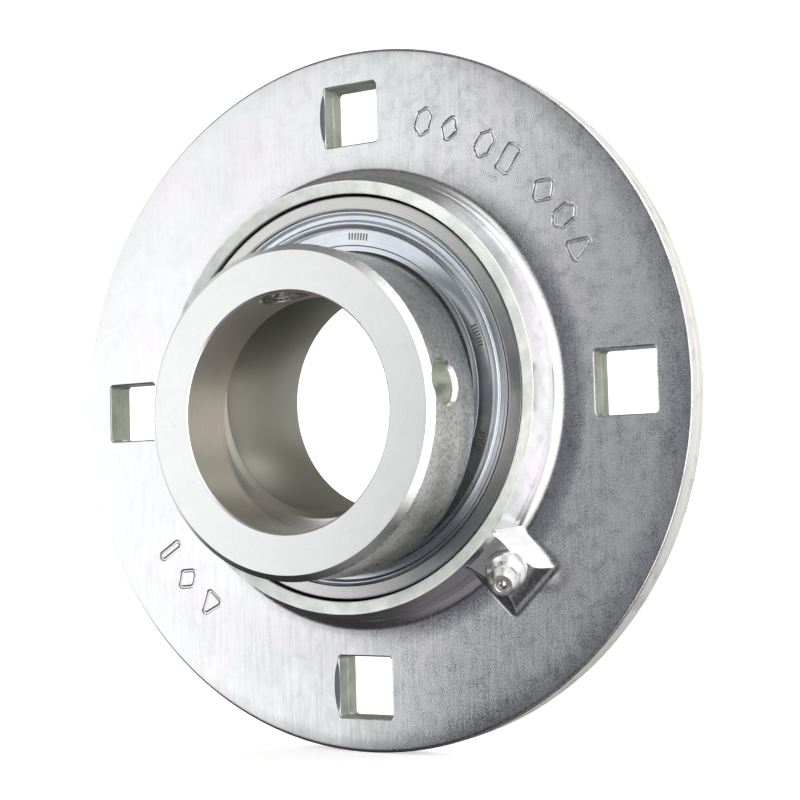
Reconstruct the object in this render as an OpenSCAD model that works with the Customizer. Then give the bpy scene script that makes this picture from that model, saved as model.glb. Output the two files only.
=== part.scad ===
// Round flange mount bearing: two pressed-steel flange plates clamp a
// ball-shaped bearing insert, and an eccentric collar locks it to a shaft.
//
// Every sub-part is drawn with the bore along +Z and the mounting face at
// Z = 0, then upright() stands it up: the bore runs along Y, the collar faces
// -Y and +Z is up. The origin is the bore axis at the mounting face.

/* [Flange] */
// Outer diameter of both flange plates
flange_d = 155.2; // [152:0.2:160]
// Sheet thickness of each plate
plate_t = 3.6; // [3.2:0.1:3.8]
// Bolt circle diameter
bolt_circle_d = 127; // [125:0.5:130]
// Number of square bolt holes
bolt_count = 4; // [2, 4]
// Width across a square bolt hole
bolt_hole_w = 13.5; // [11:0.5:14]
// Corner radius of a square bolt hole
bolt_hole_corner_r = 0.8; // [0.5:0.1:2]
// Rounding of each plate's outer edge
rim_round = 0.9; // [0.5:0.1:1.2]

/* [Seat] */
// Diameter of the ball-shaped outer ring
seat_d = 90; // [89.8:0.1:90.2]
// Gap between the outer ring and the seat
seat_gap = 0.05; // [0.03:0.01:0.08]
// Angle from the ball's equator to the neck's cut edge
neck_angle = 14.8; // [14:0.2:15.6]
// Bore of the neck's straight end, clear of the outer ring
neck_end_d = 88.6; // [88.4:0.1:89]
// Small radius where the neck turns out of the flange
neck_fillet = 2.4; // [1:0.1:3]

/* [Lubrication nose] */
// Place of the nose around the bore, counter-clockwise from the right
nose_at = -45; // [-50:1:-40]
// Slope of the nose's top, which is also the lean of the nipple
nose_slope = 27; // [25:1:29]
// Distance from the bore axis to the foot of the nipple
nipple_r = 53.35; // [53:0.05:53.6]
// Height of the nipple's foot above the mounting face
nipple_z = 11.98; // [11.8:0.02:12.2]
// Width of the nose's flat top
nose_top_w = 9.6; // [9:0.2:10.4]
// Width of the nose where it meets the flange
nose_foot_w = 14.4; // [13:0.2:16]
// Thread diameter of the nipple's shank
nipple_shank_d = 6; // [5:0.5:6]

/* [Bearing insert] */
// Shaft bore
bore_d = 50; // [49:0.5:50]
// Width of the outer ring
outer_ring_w = 22; // [21.6:0.2:22]
// Width of the inner ring
inner_ring_w = 30.2; // [30:0.1:30.6]
// From the ball centres to the inner ring's short end
short_side = 11; // [10.8:0.1:11]
// Outer diameter of the inner ring
shoulder_d = 62.8; // [62.6:0.1:63]
// Ball diameter
ball_d = 12.7; // [12.5:0.1:12.7]
// Circle that the ball centres lie on
ball_circle_d = 70; // [69.9:0.1:70.1]
// Number of balls, at most the ten that NODES names
ball_count = 10; // [10]

/* [Locking collar] */
// Outer diameter of the collar
collar_d = 69.9; // [69:0.1:71]
// Front face of the collar above the mounting face
collar_front = 36.3; // [36:0.1:38]
// How deep the collar sits over the inner ring's cam
collar_lap = 5; // [4.6:0.1:5.2]
// Eccentricity of the cam, and of the recess that fits it
cam_offset = 2; // [1.8:0.1:2]
// Diameter of the cam
cam_d = 58.4; // [58:0.1:58.6]
// Clearance between cam and recess, on radius
cam_gap = 0.1; // [0.05:0.01:0.15]
// Turn of the collar's two holes
collar_turn = 7.5; // [0:0.5:20]
// Grub screw thread diameter
screw_d = 10; // [8:1:10]
// Hexagon socket of the grub screw, across the flats
socket_w = 5; // [4:0.5:5]
// Diameter of the blind drift hole
drift_d = 9; // [8:0.5:10]
// Depth of the blind drift hole
drift_depth = 6; // [4:0.5:6.5]

/* [Hidden] */
// Two bodies that move past each other keep this radial gap
run_gap = 0.05;
// Overshoot of a cutting shape past the face that it cuts
over = 1;
$fn = 96;

// Flange and seat
flange_r = flange_d / 2;
split_z = plate_t;
ring_r = seat_d / 2;
seat_r = ring_r + seat_gap;
neck_r = seat_r + plate_t;
neck_end_r = neck_end_d / 2;
neck_end_a = acos(neck_end_r / seat_r);
neck_end_z = neck_r * sin(neck_angle) - (neck_r * cos(neck_angle) - neck_end_r) * tan(neck_angle);
bend_r = neck_fillet + plate_t;
// The bend's two radii share this centre, measured from the split plane
bend_x = sqrt(pow(seat_r + bend_r, 2) - bend_r * bend_r);
bend_a = asin(bend_r / (seat_r + bend_r));

// Nose: heights on its sloping top, and the shell left round its grease channel
nose_in_r = 46;
nose_out_r = 57.2;
nose_foot_r = 59.4;
nose_wall = 3.4;
nose_channel_w = 4.6;
channel_in_r = 44;
channel_out_r = 55.2;
function nose_top(r) = nipple_z - (r - nipple_r) * tan(nose_slope);

// Bearing insert
bore_r = bore_d / 2;
shoulder_r = shoulder_d / 2;
pitch_r = ball_circle_d / 2;
ball_r = ball_d / 2;
ring_half = outer_ring_w / 2;
inner_back = split_z - short_side;
inner_front = inner_back + inner_ring_w;
bore_chamfer = 1.2;
groove_r = ball_r * 1.04;
track_gap = 0.04;
inner_groove_x = pitch_r - ball_r - track_gap + groove_r;
outer_groove_x = pitch_r + ball_r + track_gap - groove_r;
outer_land_r = pitch_r + 3.8;
seal_seat_r = 40.75;
seal_seat_depth = 3.5;
grease_groove_z = split_z + 6.6;
grease_hole_r = 1;
cage_r = 1.8;
cage_half = 7.2;
pocket_gap = 0.12;

// Seals, as heights above the ball centres for the front one
washer_t = 0.6;
lip_t = 0.7;
backing_z = ring_half - seal_seat_depth + 0.05;
lip_z = backing_z + washer_t;
cover_z = lip_z + lip_t;
seal_r = seal_seat_r - 0.03;
rim_z = ring_half - 0.2;
rim_in_r = 39.9;
groove_z = rim_z - 0.7;
ridge_r = 38;
ridge_z = rim_z - 0.25;
band_z = cover_z + washer_t + 0.3;
step_r = 33.1;
washer_in_r = shoulder_r + 0.5;

// Collar and cam
collar_r = collar_d / 2;
collar_back = inner_front - collar_lap;
collar_mid = (inner_front + collar_front) / 2 + 0.65;
cam_back = collar_back - 1.2;
collar_y = -2 * cam_offset;
recess_r = cam_d / 2 + cam_gap;
face_chamfer = 1.4;
screw_r = screw_d / 2;
screw_in = bore_r + 0.35;
screw_out = collar_r - 0.6;

// Nipple, as heights along its own axis
nipple_hole_r = nipple_shank_d / 2;
nipple_tip = 8.4;
valve_r = 1.3;
valve_ball_r = 1.1;
valve_mouth_r = 0.85;
valve_lip = 8;
valve_ball_z = valve_lip - sqrt(pow(valve_ball_r, 2) - pow(valve_mouth_r, 2)) - 0.03;
valve_floor = 1;
coil_wire_r = 0.16;
coil_turns = 5;
coil_steps = 12;
coil_sides = 5;

zinc = "#c9ccca";
zinc_dark = "#a9adae";
steel = "#b8babb";
polished = "#d9dcdf";
rubber = "#2b2c2d";
nylon = "#d8d2bd";

function arc(cx, cy, r, a0, a1, n) =
    [for (i = [0:n]) [cx + r * cos(a0 + (a1 - a0) * i / n), cy + r * sin(a0 + (a1 - a0) * i / n)]];

module upright() {
    rotate([90, 0, 0]) children();
}

// Flips a shape drawn for the front over the split plane
module to_rear() {
    translate([0, 0, 2 * split_z]) mirror([0, 0, 1]) children();
}

// Ring drawn from a profile whose heights count from the split plane
module turned(points) {
    translate([0, 0, split_z]) rotate_extrude() polygon(points);
}

// ---------------------------------------------------------------- housing

// Half section of a pressed plate: flange, bend and ball-shaped neck
function plate_section() = concat(
    [[neck_end_r, neck_end_z]],
    arc(0, 0, seat_r, neck_end_a, bend_a, 8),
    arc(bend_x, bend_r, bend_r, 180 + bend_a, 270, 10),
    [[flange_r, 0]],
    arc(flange_r - rim_round, plate_t - rim_round, rim_round, 0, 90, 6),
    arc(bend_x, bend_r, neck_fillet, 270, 180 + bend_a, 8),
    arc(0, 0, neck_r, bend_a, neck_angle, 10)
);

module square_hole() {
    w = bolt_hole_w;
    c = bolt_hole_corner_r;
    translate([0, 0, -over]) linear_extrude(2 * plate_t + 2 * over) {
        square([w - 2 * c, w], center = true);
        square([w, w - 2 * c], center = true);
        for (x = [-1, 1], y = [-1, 1]) {
            translate([x * (w / 2 - c), y * (w / 2 - c)]) circle(r = c, $fn = 24);
        }
    }
}

module bolt_holes() {
    for (i = [0:bolt_count - 1]) {
        rotate([0, 0, i * 360 / bolt_count]) translate([bolt_circle_d / 2, 0, 0]) square_hole();
    }
}

module pressed_plate() {
    difference() {
        turned(plate_section());
        bolt_holes();
    }
}

module at_nose() {
    rotate([0, 0, nose_at]) children();
}

module on_nipple_axis() {
    at_nose() translate([nipple_r, 0, nipple_z]) rotate([0, nose_slope, 0]) children();
}

// Block with a level floor and a sloping top, half widths a below and b above
module ramp(r0, r1, r1_foot, floor_z, drop, a, b) {
    z0 = nose_top(r0) - drop;
    z1 = nose_top(r1) - drop;
    polyhedron(
        points = [
            [r0, -a, floor_z], [r1_foot, -a, floor_z], [r1_foot, a, floor_z], [r0, a, floor_z],
            [r0, -b, z0], [r1, -b, z1], [r1, b, z1], [r0, b, z0]
        ],
        faces = [
            [0, 1, 2, 3], [7, 6, 5, 4], [4, 5, 1, 0], [5, 6, 2, 1], [6, 7, 3, 2], [7, 4, 0, 3]
        ]
    );
}

module nose_block() {
    at_nose() ramp(nose_in_r, nose_out_r, nose_foot_r, split_z + plate_t - over, 0,
        nose_foot_w / 2 + 0.3, nose_top_w / 2);
}

module nose_channel() {
    drop = nose_wall / cos(nose_slope);
    at_nose() ramp(channel_in_r, channel_out_r, channel_out_r, split_z - over, drop,
        nose_channel_w / 2, nose_channel_w / 2);
}

module front_flange_plate() {
    color(zinc) upright() difference() {
        union() {
            pressed_plate();
            nose_block();
        }
        nose_channel();
        on_nipple_axis() translate([0, 0, -nose_wall - over])
            cylinder(r = nipple_hole_r, h = nose_wall + 2 * over);
    }
}

module rear_flange_plate() {
    color(zinc_dark) upright() to_rear() pressed_plate();
}

// ---------------------------------------------------------------- rings

module outer_ring_blank() {
    intersection() {
        translate([0, 0, split_z]) sphere(r = ring_r);
        turned([
            [outer_land_r, -ring_half + seal_seat_depth], [seal_seat_r, -ring_half + seal_seat_depth],
            [seal_seat_r, -ring_half], [ring_r + 1, -ring_half],
            [ring_r + 1, ring_half], [seal_seat_r, ring_half],
            [seal_seat_r, ring_half - seal_seat_depth], [outer_land_r, ring_half - seal_seat_depth]
        ]);
    }
}

module outer_ring() {
    color(steel) upright() difference() {
        outer_ring_blank();
        turned_groove(outer_groove_x);
        // Grease groove round the ball, and one hole from it into the bearing
        translate([0, 0, grease_groove_z]) rotate_extrude()
            translate([ring_r - 0.8, -1]) square([2, 2]);
        at_nose() translate([outer_land_r - 1, 0, grease_groove_z]) rotate([0, 90, 0])
            cylinder(r = grease_hole_r, h = ring_r - outer_land_r + 2);
    }
}

module turned_groove(x) {
    translate([0, 0, split_z]) rotate_extrude() translate([x, 0]) circle(r = groove_r);
}

module inner_ring() {
    color(polished) upright() difference() {
        union() {
            // Plain part under the balls and seals
            translate([0, 0, inner_back]) rotate_extrude() polygon([
                [bore_r - over, 0], [shoulder_r - 0.8, 0], [shoulder_r, 0.8],
                [shoulder_r, cam_back - inner_back], [bore_r - over, cam_back - inner_back]
            ]);
            // Cam that the collar slips over
            translate([0, -cam_offset, cam_back - over]) rotate_extrude() polygon([
                [0, 0], [cam_d / 2, 0], [cam_d / 2, inner_front - cam_back + over - 0.7],
                [cam_d / 2 - 0.7, inner_front - cam_back + over], [0, inner_front - cam_back + over]
            ]);
        }
        turned_groove(inner_groove_x);
        // Bore with a chamfer at each end
        translate([0, 0, inner_back - over]) cylinder(r = bore_r, h = inner_ring_w + 2 * over);
        for (end = [0, 1]) {
            translate([0, 0, end == 0 ? inner_back : inner_front]) mirror([0, 0, end]) rotate_extrude()
                polygon([
                    [bore_r - over, -over], [bore_r + bore_chamfer + over, -over],
                    [bore_r, bore_chamfer], [bore_r - over, bore_chamfer]
                ]);
        }
    }
}

// ---------------------------------------------------------------- balls

function ball_angle(i) = 18 + i * 360 / ball_count;

module ball(i) {
    color(polished) upright() rotate([0, 0, ball_angle(i)])
        translate([pitch_r, 0, split_z]) sphere(r = ball_r, $fn = 48);
}

module ball_cage() {
    color(nylon) upright() difference() {
        turned([
            [pitch_r - cage_r, -cage_half], [pitch_r + cage_r, -cage_half],
            [pitch_r + cage_r, cage_half], [pitch_r - cage_r, cage_half]
        ]);
        for (i = [0:ball_count - 1]) {
            rotate([0, 0, ball_angle(i)]) translate([pitch_r - ball_r, 0, split_z]) rotate([0, 90, 0])
                cylinder(r = ball_r + pocket_gap, h = 2 * ball_r, $fn = 48);
        }
    }
}

// ---------------------------------------------------------------- seals

// Outer steel washer: a rolled rim, a groove, a ridge, a dished band and a stepped inner edge
module cover_washer() {
    t = washer_t;
    turned([
        [washer_in_r, cover_z], [seal_r, cover_z],
        [seal_r, rim_z - 0.25], [seal_r - 0.25, rim_z], [rim_in_r + 0.2, rim_z], [rim_in_r, rim_z - 0.2],
        [rim_in_r - 0.3, groove_z], [ridge_r + 0.5, groove_z], [ridge_r + 0.2, ridge_z],
        [ridge_r - 0.2, ridge_z], [ridge_r - 1.2, band_z], [step_r + 0.2, band_z],
        [step_r, cover_z + t], [washer_in_r, cover_z + t]
    ]);
}

// Moulded rubber disc whose lip wipes the inner ring
module seal_lip() {
    z = lip_z;
    turned([
        [shoulder_r + run_gap, z - 0.3], [shoulder_r + 0.6, z - 0.3], [shoulder_r + 1.1, z],
        [seal_r, z], [seal_r, z + lip_t], [shoulder_r + 0.45, z + lip_t],
        [shoulder_r + 0.45, z + lip_t + 0.5], [shoulder_r + run_gap, z + lip_t + 0.5]
    ]);
}

module backing_washer() {
    turned([
        [washer_in_r + 0.6, backing_z], [seal_r, backing_z],
        [seal_r, backing_z + washer_t], [washer_in_r + 0.6, backing_z + washer_t]
    ]);
}

module front_cover_washer() {
    color(zinc) upright() cover_washer();
}

module front_seal_lip() {
    color(rubber) upright() seal_lip();
}

module front_backing_washer() {
    color(zinc) upright() backing_washer();
}

module rear_cover_washer() {
    color(zinc) upright() to_rear() cover_washer();
}

module rear_seal_lip() {
    color(rubber) upright() to_rear() seal_lip();
}

module rear_backing_washer() {
    color(zinc) upright() to_rear() backing_washer();
}

// ---------------------------------------------------------------- collar

// The collar is turned half round on its cam, so its bore hangs below the ring's
module on_collar() {
    translate([0, collar_y, 0]) rotate([0, 0, collar_turn]) children();
}

// Radial frame of one of the collar's two holes, a quarter turn apart
module on_collar_hole(turn) {
    on_collar() rotate([0, 0, turn]) translate([0, 0, collar_mid]) rotate([0, 90, 0]) children();
}

module locking_collar() {
    c = face_chamfer;
    b = 0.35;
    color(zinc) upright() difference() {
        translate([0, collar_y, 0]) rotate_extrude() polygon([
            [bore_r - over, collar_back], [collar_r - 1, collar_back], [collar_r, collar_back + 1],
            [collar_r, collar_front - c], [collar_r - c, collar_front],
            [bore_r - over, collar_front]
        ]);
        translate([0, collar_y, collar_back - over])
            cylinder(r = bore_r, h = collar_front - collar_back + 2 * over);
        translate([0, collar_y, 0]) rotate_extrude() polygon([
            [bore_r - over, collar_front - b], [bore_r, collar_front - b],
            [bore_r + b + over, collar_front + over], [bore_r - over, collar_front + over]
        ]);
        // Recess over the cam
        translate([0, -cam_offset, collar_back - over])
            cylinder(r = recess_r, h = collar_lap + over + run_gap);
        on_collar_hole(90) cylinder(r = screw_r, h = collar_r + over);
        // Blind drift hole with a small countersink
        on_collar_hole(0) translate([0, 0, collar_r - drift_depth])
            cylinder(r = drift_d / 2, h = drift_depth + over);
        on_collar_hole(0) translate([0, 0, collar_r - 0.9])
            cylinder(r1 = drift_d / 2, r2 = drift_d / 2 + 1.9, h = 1.9);
    }
}

module grub_screw() {
    color(steel) upright() on_collar_hole(90) difference() {
        rotate_extrude() polygon([
            [0, screw_in + 1], [1.6, screw_in], [2.6, screw_in], [screw_r - run_gap, screw_in + 2],
            [screw_r - run_gap, screw_out - 0.6], [screw_r - 0.7, screw_out], [0, screw_out]
        ]);
        translate([0, 0, screw_out - 4.5])
            cylinder(d = socket_w / cos(30), h = 4.5 + over, $fn = 6);
    }
}

// ---------------------------------------------------------------- nipple

module nipple_body() {
    color(polished) upright() on_nipple_axis() rotate_extrude() polygon([
        [0.8, -4.4], [nipple_hole_r - 0.5, -4.4], [nipple_hole_r, -3.9], [nipple_hole_r, 0],
        [4.25, 0], [4.25, 1], [4.1, 1.6], [3.75, 2.25], [3.2, 2.8], [2.5, 3.4], [2.4, 3.8],
        [2.75, 4.4], [3.2, 5.1], [3.25, 5.6], [3.1, 6.3], [2.6, 7.4], [2.1, nipple_tip],
        [valve_mouth_r, nipple_tip], [valve_mouth_r, valve_lip], [valve_r, valve_lip],
        [valve_r, valve_floor], [0.8, valve_floor]
    ]);
}

module nipple_ball() {
    color(steel) upright() on_nipple_axis() translate([0, 0, valve_ball_z])
        sphere(r = valve_ball_r, $fn = 32);
}

// Spring under the ball: a round wire swept along a helix
coil_r = valve_r - coil_wire_r - 0.08;
coil_bottom = valve_floor + coil_wire_r + 0.02;
coil_top = valve_ball_z - valve_ball_r * cos(asin(coil_r / (valve_ball_r + coil_wire_r))) - coil_wire_r;
function coil_height(i) = coil_bottom + (coil_top - coil_bottom) * i / (coil_turns * coil_steps);
function coil_ring(i) =
    let (turn = i * 360 / coil_steps)
    [for (k = [0:coil_sides - 1])
        let (a = k * 360 / coil_sides, r = coil_r + coil_wire_r * cos(a))
        [r * cos(turn), r * sin(turn), coil_height(i) + coil_wire_r * sin(a)]];

module nipple_spring() {
    n = coil_turns * coil_steps;
    m = coil_sides;
    color(steel) upright() on_nipple_axis() polyhedron(
        points = [for (i = [0:n]) each coil_ring(i)],
        faces = concat(
            [[for (k = [0:m - 1]) k]],
            [for (i = [0:n - 1], k = [0:m - 1])
                [i * m + k, (i + 1) * m + k, (i + 1) * m + (k + 1) % m, i * m + (k + 1) % m]],
            [[for (k = [m - 1:-1:0]) n * m + k]]
        )
    );
}

front_flange_plate();
rear_flange_plate();
outer_ring();
inner_ring();
ball_cage();
ball(0);  // ball_01
ball(1);  // ball_02
ball(2);  // ball_03
ball(3);  // ball_04
ball(4);  // ball_05
ball(5);  // ball_06
ball(6);  // ball_07
ball(7);  // ball_08
ball(8);  // ball_09
ball(9);  // ball_10
front_cover_washer();
front_seal_lip();
front_backing_washer();
rear_cover_washer();
rear_seal_lip();
rear_backing_washer();
locking_collar();
grub_screw();
nipple_body();
nipple_ball();
nipple_spring();
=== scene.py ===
import math

import bmesh
import bpy
import numpy as np
from mathutils import Matrix, Vector

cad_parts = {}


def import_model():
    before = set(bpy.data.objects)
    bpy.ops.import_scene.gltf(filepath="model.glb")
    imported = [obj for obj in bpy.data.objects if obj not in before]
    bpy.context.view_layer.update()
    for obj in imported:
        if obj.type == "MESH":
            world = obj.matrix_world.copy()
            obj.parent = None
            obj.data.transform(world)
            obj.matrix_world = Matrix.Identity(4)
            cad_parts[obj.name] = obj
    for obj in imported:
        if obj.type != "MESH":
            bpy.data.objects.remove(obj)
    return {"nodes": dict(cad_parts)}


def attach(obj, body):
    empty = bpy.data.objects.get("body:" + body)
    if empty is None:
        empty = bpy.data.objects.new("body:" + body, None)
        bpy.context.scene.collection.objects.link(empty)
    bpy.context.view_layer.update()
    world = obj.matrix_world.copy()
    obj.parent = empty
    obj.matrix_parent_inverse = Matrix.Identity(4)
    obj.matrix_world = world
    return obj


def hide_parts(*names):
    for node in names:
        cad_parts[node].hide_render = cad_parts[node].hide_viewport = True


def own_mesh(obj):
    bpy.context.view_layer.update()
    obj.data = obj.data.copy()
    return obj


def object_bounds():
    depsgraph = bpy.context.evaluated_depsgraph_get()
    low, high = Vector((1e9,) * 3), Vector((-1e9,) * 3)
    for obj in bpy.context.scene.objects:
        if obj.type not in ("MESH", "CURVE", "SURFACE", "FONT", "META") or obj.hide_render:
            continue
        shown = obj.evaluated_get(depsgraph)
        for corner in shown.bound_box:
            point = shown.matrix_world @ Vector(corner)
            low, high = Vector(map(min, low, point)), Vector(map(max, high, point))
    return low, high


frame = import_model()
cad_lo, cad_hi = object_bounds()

# Shapes are worked out in millimetres with the bore along +Z and the mounting
# face at Z = 0, as in the CAD source, and stood up by world().
MM = 0.001
SPLIT_Z = 3.6
PLATE_T = 3.6
FLANGE_R = 77.6
RIM_ROUND = 0.5
RIM_ROLL_W, RIM_ROLL_D = 6.5, 0.3
HOLE_CIRCLE_R = 63.5
HOLE_W = 13.5
HOLE_CORNER_R = 0.8
SEAT_R = 45.05
NECK_R = SEAT_R + PLATE_T
NECK_ANGLE = math.radians(14.8)
NECK_END_R = 44.3
NECK_FILLET = 2.4
SWELL_R, SWELL_W, SWELL_D = 55.4, 4.4, 0.28
NOSE_AT = math.radians(-45)
NOSE_SLOPE = math.radians(27)
NOSE_OUT_R, NOSE_FOOT_R = 57.2, 59.4
NOSE_TOP_HALF, NOSE_FOOT_HALF = 4.8, 7.2
NOSE_FILLET = 0.8
NOSE_START = 40.0
NIPPLE_R, NIPPLE_Z = 53.35, 11.98
RING_R = 45.0
RING_HALF = 11.0
SEAL_SEAT_R = 40.75
LAND_R, LAND_Z = 38.8, 5.45
RING_EDGE_Z = 10.74
TRACK_R = 6.604
OUTER_TRACK_AT, INNER_TRACK_AT = 31.77, 38.274
BORE_R = 25.0
BORE_CHAMFER, BORE_BREAK = 1.2, 0.06
SHOULDER_R = 31.4
INNER_BACK, INNER_FRONT = -7.4, 22.8
CAM_Y, CAM_R, CAM_BACK = -2.0, 29.2, 16.6
COLLAR_Y, COLLAR_R = -4.0, 34.95
COLLAR_BACK, COLLAR_FRONT = 17.8, 36.3
COLLAR_CHAMFER, COLLAR_BREAK = 1.4, 0.35
RECESS_R, RECESS_TOP = 29.3, 22.85
HOLE_Z = 30.2
COLLAR_TURN = math.radians(7.5)
SCREW_R, DRIFT_R, DRIFT_DEPTH = 5.0, 4.5, 6.0
SCREW_PITCH, SOCKET_W = 1.0, 5.0
TAP_PITCH, TAP_DEPTH, TAP_TURNS = 0.75, 0.42, 21
MARK_CORNER, MARK_TOOL_R, MARK_TOOL_LIFT = 0.75, 0.62, 0.4

# Slots of the plates' and the collar's materials
ZINC, NECK_CUT, RIM, PIERCED = range(4)
PLATED, BORED, DRILLED = range(3)

# The etched ticks on a cover washer: the band they stand in, in metres, and where each row is, in radians
TICK_BAND = 0.0344, 0.0359
TICK_ROWS, TICK_ROW_HALF = (0.32, -0.33, -0.98, 1.43), 0.07


# ------------------------------------------------------------------ mesh tools

def world(points):
    """Row-frame metres from millimetres with the bore along +Z."""
    p = np.asarray(points, float)
    return np.stack([p[..., 0], -p[..., 2], p[..., 1]], -1) * MM


def turn(axis, angle):
    return np.array(Matrix.Rotation(angle, 4, axis))


def shift(x, y, z):
    return np.array(Matrix.Translation((x, y, z)))


def moved(points, matrix):
    p = np.asarray(points, float)
    return p @ matrix[:3, :3].T + matrix[:3, 3]


def piece(name, points, faces, matrix=None, face_mats=None):
    """A closed mesh from millimetre points, with its faces turned outward."""
    p = points if matrix is None else moved(points, matrix)
    mesh = bpy.data.meshes.new(name)
    mesh.from_pydata(world(p).tolist(), [], [list(map(int, f)) for f in faces])
    if face_mats is not None:
        mesh.polygons.foreach_set("material_index", np.asarray(face_mats, np.int32))
    bm = bmesh.new()
    bm.from_mesh(mesh)
    bmesh.ops.recalc_face_normals(bm, faces=bm.faces)
    bm.to_mesh(mesh)
    bm.free()
    obj = bpy.data.objects.new(name, mesh)
    bpy.context.scene.collection.objects.link(obj)
    return obj


def grid_faces(rows, cols, wrap_rows, wrap_cols):
    """Quads over a rows by cols grid of points, numbered row by row."""
    i = np.arange(rows if wrap_rows else rows - 1)
    j = np.arange(cols if wrap_cols else cols - 1)
    i, j = (a.ravel() for a in np.meshgrid(i, j, indexing="ij"))
    i1, j1 = (i + 1) % rows, (j + 1) % cols
    return np.stack([i * cols + j, i * cols + j1, i1 * cols + j1, i1 * cols + j], 1)


def rounded(corners, steps=4, hold=0.05):
    """A closed outline from (x, y, radius) corners, each rounded and held tight by a point at each side."""
    out = []
    for i, (x, y, radius) in enumerate(corners):
        p = np.array([x, y], float)
        if radius <= 0:
            out.append(p)
            continue
        a = np.array(corners[i - 1][:2], float) - p
        b = np.array(corners[(i + 1) % len(corners)][:2], float) - p
        la, lb = np.linalg.norm(a), np.linalg.norm(b)
        a, b = a / la, b / lb
        half = math.acos(max(-1.0, min(1.0, float(a @ b)))) / 2
        if half > math.radians(89.5):
            out.append(p)
            continue
        cut = min(radius / math.tan(half), 0.46 * la, 0.46 * lb)
        r = cut * math.tan(half)
        centre = p + (a + b) / np.linalg.norm(a + b) * r / math.sin(half)
        start, end = p + a * cut - centre, p + b * cut - centre
        sweep = math.pi - 2 * half
        if cut + hold < 0.48 * la:
            out.append(p + a * (cut + hold))
        for k in range(steps + 1):
            t = k / steps
            s0 = math.sin((1 - t) * sweep) / math.sin(sweep)
            s1 = math.sin(t * sweep) / math.sin(sweep)
            out.append(centre + start * s0 + end * s1)
        if cut + hold < 0.48 * lb:
            out.append(p + b * (cut + hold))
    return np.array(out)


def turned(name, outline, segments=240, matrix=None):
    """A ring turned round Z from a closed outline of (radius, height)."""
    a = np.linspace(0, 2 * math.pi, segments, endpoint=False)
    r, z = outline[:, 0:1], outline[:, 1:2]
    pts = np.stack([r * np.cos(a), r * np.sin(a), z + 0 * a], -1).reshape(-1, 3)
    return piece(name, pts, grid_faces(len(outline), segments, True, True), matrix)


def lathe(name, outline, segments, matrix=None):
    """A solid turned round Z from an open outline whose two ends lie on the axis."""
    a = np.linspace(0, 2 * math.pi, segments, endpoint=False)
    inner = np.asarray(outline)[1:-1]
    r, z = inner[:, 0:1], inner[:, 1:2]
    pts = np.stack([r * np.cos(a), r * np.sin(a), z + 0 * a], -1).reshape(-1, 3)
    n = len(pts)
    pts = np.vstack([pts, [0, 0, outline[0][1]], [0, 0, outline[-1][1]]])
    faces = grid_faces(len(inner), segments, False, True).tolist()
    last = n - segments
    for j in range(segments):
        faces.append([(j + 1) % segments, j, n])
        faces.append([last + j, last + (j + 1) % segments, n + 1])
    return piece(name, pts, faces, matrix)


def lofted(name, rings, matrix=None):
    """A solid through a stack of matching closed rings of points."""
    rows, cols = len(rings), len(rings[0])
    faces = grid_faces(rows, cols, False, True).tolist()
    faces += [list(range(cols))[::-1], list(range((rows - 1) * cols, rows * cols))]
    return piece(name, np.concatenate(rings), faces, matrix)


def combine(obj, *cutters, how="DIFFERENCE"):
    """Cuts or joins closed meshes into obj, and removes the cutters."""
    for cutter in cutters:
        m = obj.modifiers.new("cut", "BOOLEAN")
        m.operation, m.object, m.solver = how, cutter, "EXACT"
        m.material_mode = "INDEX"
        bpy.context.view_layer.update()
        made = bpy.data.meshes.new_from_object(obj.evaluated_get(bpy.context.evaluated_depsgraph_get()))
        if not made.polygons:
            raise RuntimeError(f"{cutter.name} left nothing of {obj.name}")
        obj.modifiers.clear()
        old, obj.data = obj.data, made
        bpy.data.meshes.remove(old)
        bpy.data.objects.remove(cutter)
    obj.data.name = obj.name
    return obj


def shade(obj, angle):
    """Smooth shading, crisp at bends past angle degrees and round the many-cornered faces that a cut leaves."""
    many_corners_angle = 3.5
    bm = bmesh.new()
    bm.from_mesh(obj.data)
    bmesh.ops.remove_doubles(bm, verts=bm.verts, dist=1e-8)
    for f in bm.faces:
        f.smooth = True
    for e in bm.edges:
        if len(e.link_faces) != 2:
            continue
        bend = math.degrees(e.calc_face_angle(0.0))
        many = any(len(f.verts) > 4 for f in e.link_faces)
        e.smooth = bend < (many_corners_angle if many else angle)
    bm.to_mesh(obj.data)
    bm.free()


def paint(obj, *mats):
    """Gives a piece its materials, keeping each face's slot number."""
    slots = np.zeros(len(obj.data.polygons), np.int32)
    obj.data.polygons.foreach_get("material_index", slots)
    obj.data.materials.clear()
    for m in mats:
        obj.data.materials.append(m)
    obj.data.polygons.foreach_set("material_index", slots)


# ------------------------------------------------------------------ materials

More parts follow.
